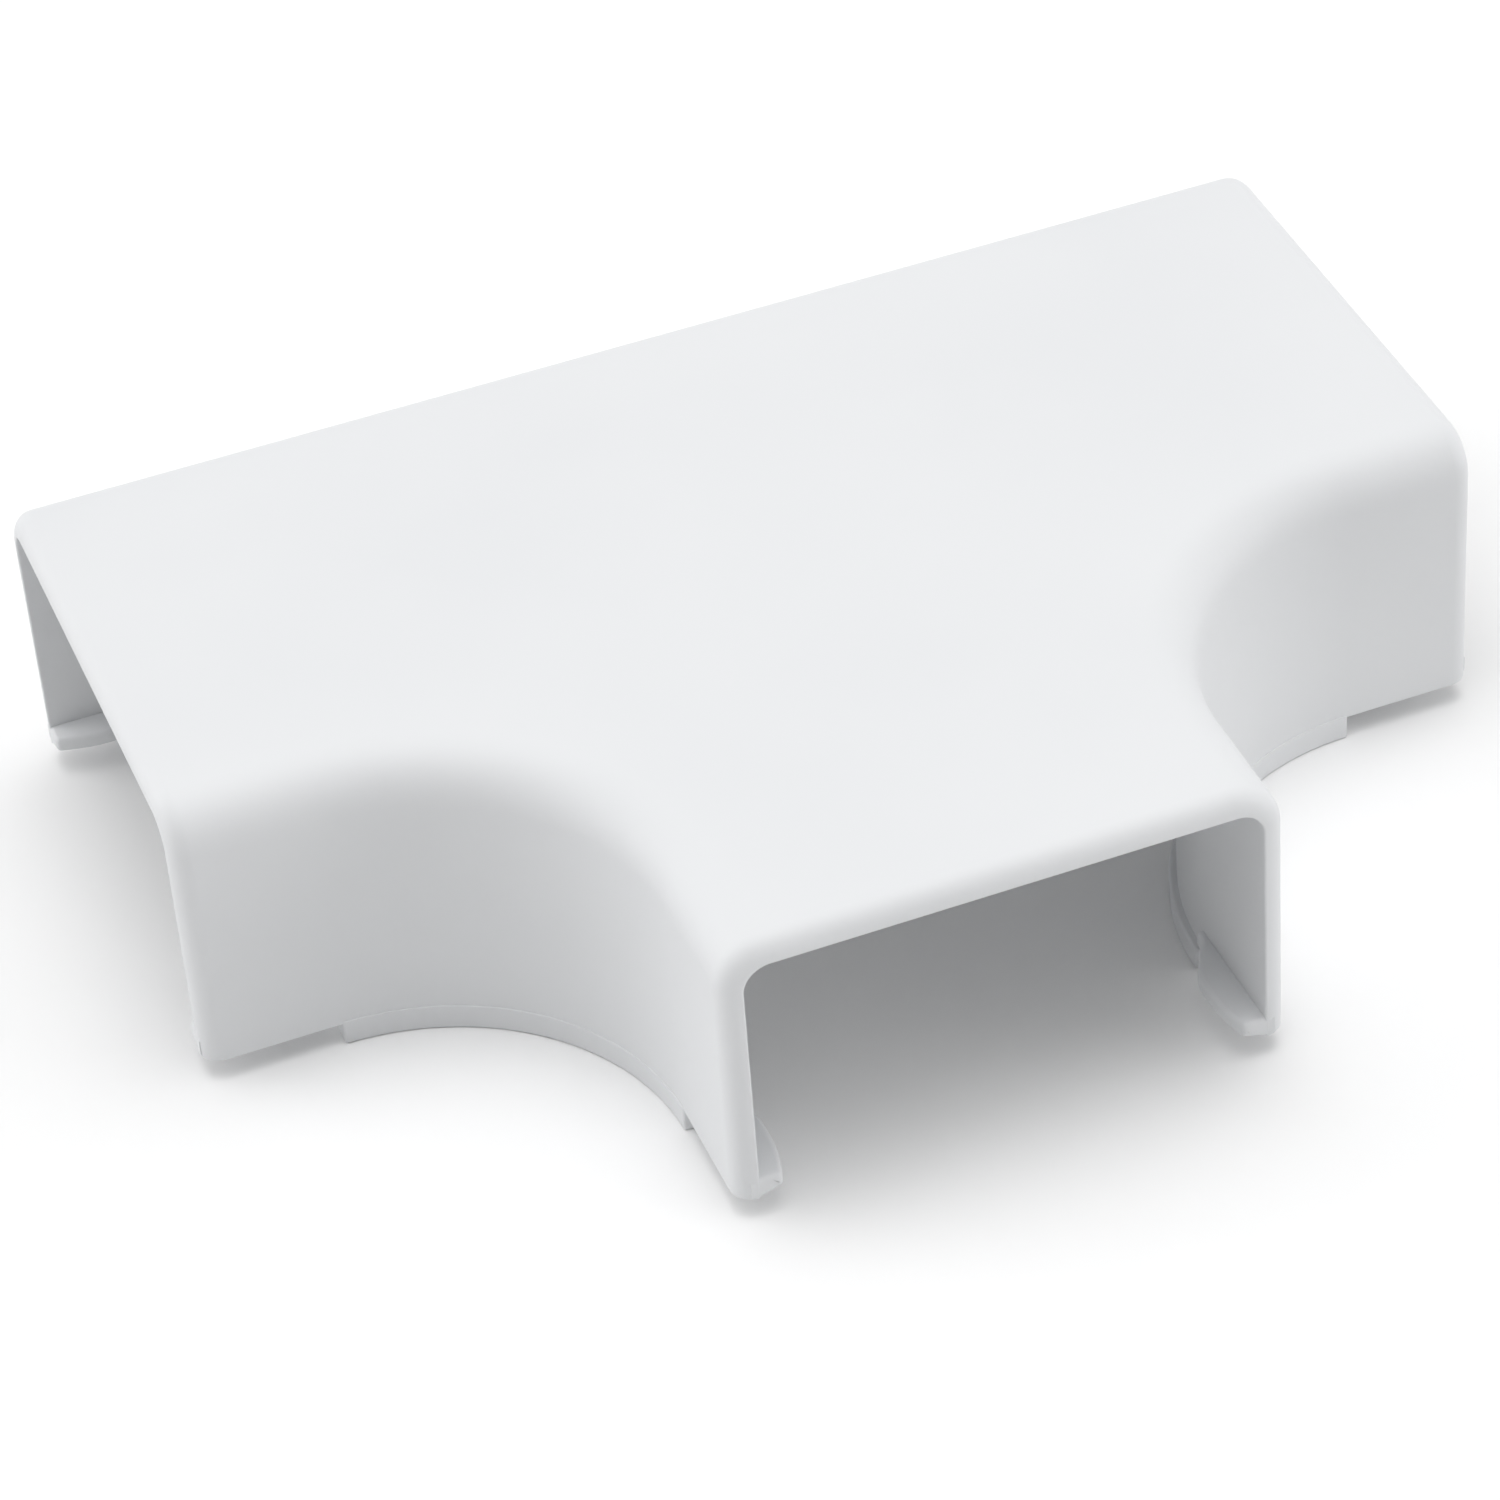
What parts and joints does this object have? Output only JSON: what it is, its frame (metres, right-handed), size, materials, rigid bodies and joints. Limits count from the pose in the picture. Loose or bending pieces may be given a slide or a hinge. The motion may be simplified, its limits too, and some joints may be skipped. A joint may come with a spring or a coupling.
{
  "type": "surface raceway tee cover",
  "caption": "Clip-on white PVC tee cover for surface cable raceway: open underneath and at three ends, with two concave corner walls.",
  "frame": {"origin": "centre of the footprint on the mounting plane, which the skirts rest on", "axes": "+X along the run, -Y out through the branch, +Z away from the mounting plane to the flat top"},
  "size_m": [0.0846, 0.06, 0.0206],
  "materials": {
    "pvc_white": "smooth moulded PVC, satin"
  },
  "bodies": {
    "root": {"run_top_panel": "pvc_white", "branch_top_panel": "pvc_white", "back_wall": "pvc_white", "front_wall_left": "pvc_white", "front_wall_right": "pvc_white", "corner_wall_left": "pvc_white", "corner_wall_right": "pvc_white", "branch_wall_left": "pvc_white", "branch_wall_right": "pvc_white", "back_skirt": "pvc_white", "corner_skirt_left": "pvc_white", "corner_skirt_right": "pvc_white", "snap_lip_back_left": "pvc_white", "snap_lip_back_right": "pvc_white", "snap_lip_front_left": "pvc_white", "snap_lip_front_right": "pvc_white", "snap_lip_branch_left": "pvc_white", "snap_lip_branch_right": "pvc_white"}
  },
  "joints": []
}
